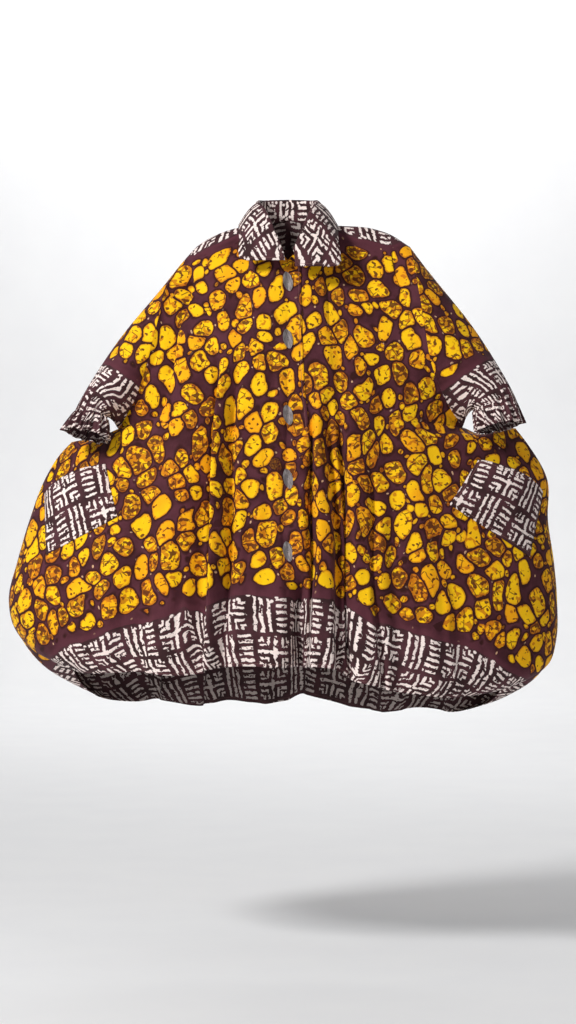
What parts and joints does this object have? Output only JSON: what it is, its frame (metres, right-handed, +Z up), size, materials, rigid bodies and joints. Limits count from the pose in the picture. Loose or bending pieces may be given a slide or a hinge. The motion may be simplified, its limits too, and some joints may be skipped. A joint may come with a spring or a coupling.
{
  "type": "tunic dress",
  "caption": "Wide collared tunic dress in spotted cotton with bordered hems, elastic frilled sleeves, patch pockets and a buttoned front.",
  "frame": {"origin": "middle of the neck on the shoulder line, where the wearer's shoulders hold the dress", "axes": "+Z up, the front faces -Y, +X is the wearer's left"},
  "size_m": [1.0963, 0.5108, 1.0428],
  "materials": {
    "spotted_cloth": "matt printed cotton, yellow crackled spots on maroon, with a border of cream marks on dark brown",
    "marked_cloth": "matt printed cotton, cream mud-cloth marks on dark brown",
    "horn": "grey horn-like, smooth"
  },
  "bodies": {
    "root": {"front_right": "spotted_cloth", "front_left": "spotted_cloth", "back": "spotted_cloth", "sleeve_right": "spotted_cloth", "sleeve_left": "spotted_cloth", "collar": "marked_cloth", "pocket_right": "marked_cloth", "pocket_left": "marked_cloth", "button_1": "horn", "button_2": "horn", "button_3": "horn", "button_4": "horn", "button_5": "horn"}
  },
  "joints": []
}
